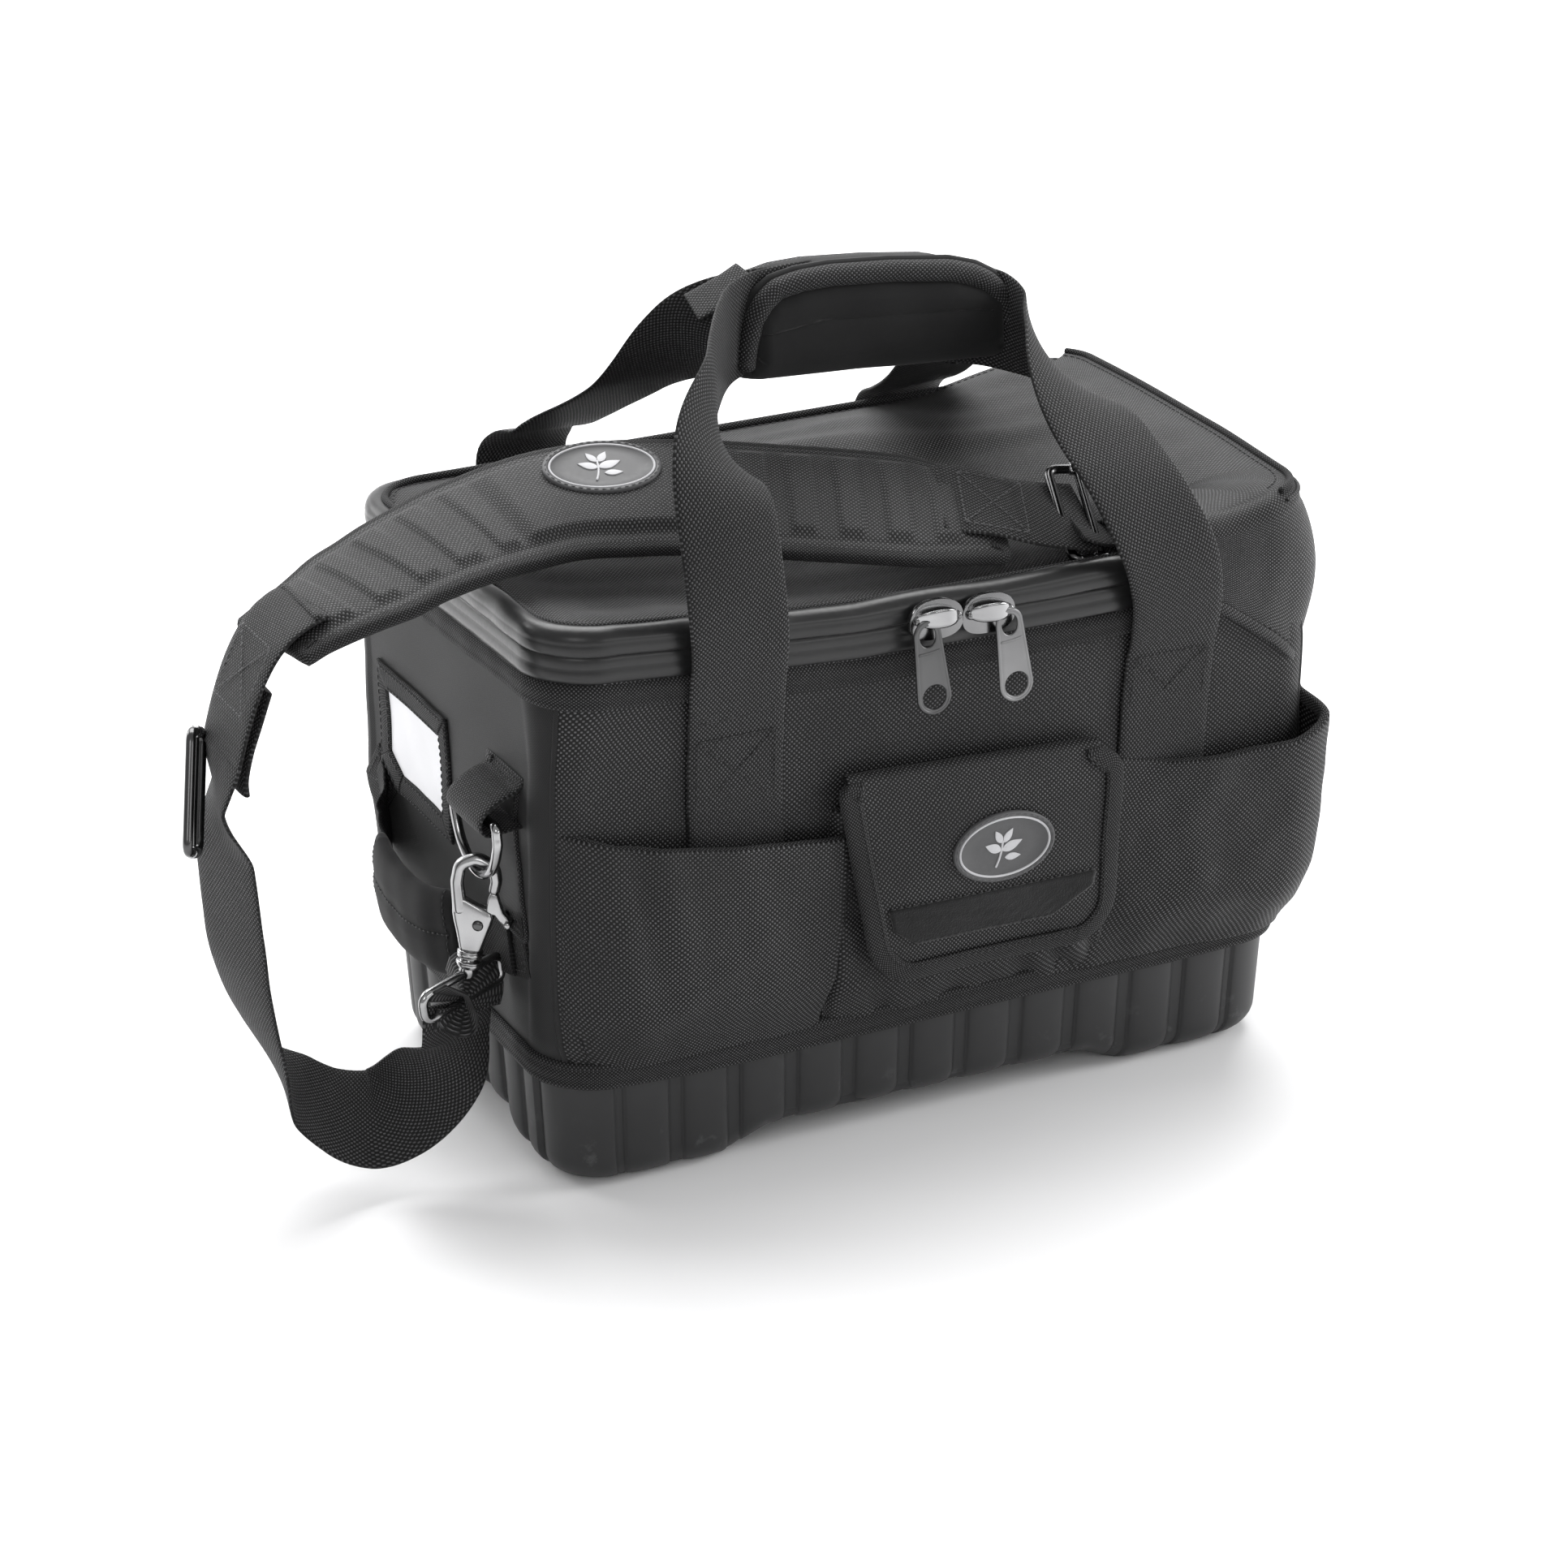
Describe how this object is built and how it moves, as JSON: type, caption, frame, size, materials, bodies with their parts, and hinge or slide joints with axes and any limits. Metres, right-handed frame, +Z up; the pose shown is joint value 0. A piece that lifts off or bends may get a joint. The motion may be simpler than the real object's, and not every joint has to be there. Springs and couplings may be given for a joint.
{
  "type": "zip-top tool bag",
  "caption": "Soft-sided tool bag with a fluted rubber base, zip-top lid with end hood, web handles in one wrap, outside pockets and a padded shoulder strap on D-rings.",
  "frame": {"origin": "centre of the flat rest pad under the base, on the plane of the feet", "axes": "+X along the front, +Y from front to back, +Z up"},
  "size_m": [0.5784, 0.2781, 0.4163],
  "materials": {
    "rubber_base": "satin moulded rubber",
    "ballistic_nylon": "coarse basket weave with a light fleck",
    "end_nylon": "fine twill",
    "webbing": "ribbed nylon webbing",
    "tape": "ribbed binding tape",
    "coated_tape": "semi-gloss coated zipper tape",
    "zipper_teeth": "satin moulded coil",
    "neoprene": "smooth knit-faced foam",
    "slider_metal": "black nickel",
    "bright_metal": "polished gunmetal",
    "hook_metal": "cast nickel plate",
    "badge_rubber": "soft moulded badge",
    "hook_loop": "fuzzy fastener strip",
    "card": "plain card behind clear film",
    "board": "stiff board"
  },
  "bodies": {
    "bag_body": {"base_tub": "rubber_base", "bottom_board": "board", "base_binding": "tape", "front_panel": "ballistic_nylon", "back_panel": "ballistic_nylon", "left_end_panel": "end_nylon", "right_end_panel": "end_nylon", "corner_panels": "ballistic_nylon", "top_binding": "tape", "lower_gusset": "coated_tape", "zipper_chain_lower": "zipper_teeth", "hinge_tape": "tape", "front_pocket_left": "ballistic_nylon", "front_pocket_centre": "ballistic_nylon", "front_pocket_right": "ballistic_nylon", "pocket_rims": "tape", "handle_anchors_front": "webbing", "handle_anchors_back": "webbing", "card_window_frame": "tape", "id_card": "card", "ring_loop_left": "webbing", "ring_loop_right": "webbing", "ring_patches": "webbing", "grip_anchors": "webbing", "drop_webbing": "webbing"},
    "lid": {"lid_panel": "ballistic_nylon", "upper_gusset": "coated_tape", "zipper_chain_upper": "zipper_teeth", "lid_piping": "tape", "hood_top": "ballistic_nylon", "hood_piping": "tape", "hood_end_panel": "end_nylon", "shoulder_pad": "neoprene", "pad_badge": "badge_rubber", "pad_tabs": "webbing", "strap_tail_right": "webbing"},
    "front_handle": {"front_handle_web": "webbing", "handle_wrap": "neoprene", "wrap_binding": "tape"},
    "back_handle": {"back_handle_web": "webbing"},
    "slider_left": {"zipper_slider_left": "slider_metal"},
    "slider_right": {"zipper_slider_right": "slider_metal"},
    "tab_left": {"pull_tab_left": "slider_metal"},
    "tab_right": {"pull_tab_right": "slider_metal"},
    "flap": {"pocket_flap": "ballistic_nylon", "flap_binding": "tape", "flap_hook_strip": "hook_loop", "flap_badge": "badge_rubber"},
    "ring_left": {"d_ring_left": "bright_metal"},
    "ring_right": {"d_ring_right": "bright_metal"},
    "hook": {"snap_hook": "hook_metal", "hook_rivet": "hook_metal"},
    "trigger": {"hook_trigger": "hook_metal"},
    "swivel": {"hook_swivel_bar": "bright_metal"},
    "grip_left": {"side_grip_band_left": "webbing", "side_grip_pad_left": "neoprene"},
    "grip_right": {"side_grip_band_right": "webbing", "side_grip_pad_right": "neoprene"},
    "adjuster_left": {"slide_left": "bright_metal"},
    "adjuster_right": {"slide_right": "bright_metal"}
  },
  "joints": [
    {"name": "lid_hinge", "type": "hinge", "parent": "bag_body", "child": "lid", "pos_m": [0, 0.1235, 0.275], "axis": [-1, 0, 0], "range_deg": [0, 88]},
    {"name": "front_handle_swing", "type": "hinge", "parent": "bag_body", "child": "front_handle", "pos_m": [0, -0.126, 0.243], "axis": [1, 0, 0], "range_deg": [0, 137]},
    {"name": "back_handle_swing", "type": "hinge", "parent": "bag_body", "child": "back_handle", "pos_m": [0, 0.126, 0.243], "axis": [-1, 0, 0], "range_deg": [0, 124]},
    {"name": "zip_left_slide", "type": "slide", "parent": "bag_body", "child": "slider_left", "axis": [-1, 0, 0], "range_m": [0, 0.065]},
    {"name": "zip_right_slide", "type": "slide", "parent": "bag_body", "child": "slider_right", "axis": [1, 0, 0], "range_m": [0, 0.06]},
    {"name": "tab_left_lift", "type": "hinge", "parent": "slider_left", "child": "tab_left", "pos_m": [-0.004, -0.1345, 0.2665], "axis": [-1, 0, 0], "range_deg": [0, 110]},
    {"name": "tab_right_lift", "type": "hinge", "parent": "slider_right", "child": "tab_right", "pos_m": [0.022, -0.1345, 0.2665], "axis": [-1, 0, 0], "range_deg": [0, 110]},
    {"name": "flap_lift", "type": "hinge", "parent": "bag_body", "child": "flap", "pos_m": [0.0215, -0.131, 0.189], "axis": [-1, 0, 0], "range_deg": [0, 115]},
    {"name": "ring_left_swing", "type": "hinge", "parent": "bag_body", "child": "ring_left", "pos_m": [-0.2215, -0.072, 0.1935], "axis": [0, 1, 0], "range_deg": [0, 8]},
    {"name": "ring_right_swing", "type": "hinge", "parent": "bag_body", "child": "ring_right", "pos_m": [0.2215, -0.072, 0.1595], "axis": [0, -1, 0], "range_deg": [-8, 85]},
    {"name": "hook_swing", "type": "hinge", "parent": "ring_left", "child": "hook", "pos_m": [-0.2215, -0.072, 0.1615], "axis": [0, 1, 0], "range_deg": [0, 6]},
    {"name": "trigger_press", "type": "hinge", "parent": "hook", "child": "trigger", "pos_m": [-0.21806, -0.07601, 0.1437], "axis": [-0.5687, -0.8191, 0.0749], "range_deg": [0, 18]},
    {"name": "hook_swivel", "type": "hinge", "parent": "hook", "child": "swivel", "pos_m": [-0.22767, -0.072, 0.11309], "axis": [0.1305, 0, 0.9914], "range_deg": [-15, 15]},
    {"name": "grip_left_lift", "type": "hinge", "parent": "bag_body", "child": "grip_left", "pos_m": [-0.2065, 0, 0.124], "axis": [0, 1, 0], "range_deg": [0, 40]},
    {"name": "grip_right_lift", "type": "hinge", "parent": "bag_body", "child": "grip_right", "pos_m": [0.2065, 0, 0.124], "axis": [0, -1, 0], "range_deg": [0, 40]},
    {"name": "adjuster_left_slide", "type": "slide", "parent": "bag_body", "child": "adjuster_left", "axis": [0, 0, 1], "range_m": [-0.005, 0.01]},
    {"name": "adjuster_right_slide", "type": "slide", "parent": "lid", "child": "adjuster_right", "axis": [0.9953, -0.0603, -0.0754], "range_m": [-0.004, 0.022]}
  ],
  "couplings": [
    {"joint": "front_handle_swing", "follows": "lid_hinge", "ratio": 1.55},
    {"joint": "back_handle_swing", "follows": "lid_hinge", "ratio": 1.4}
  ]
}
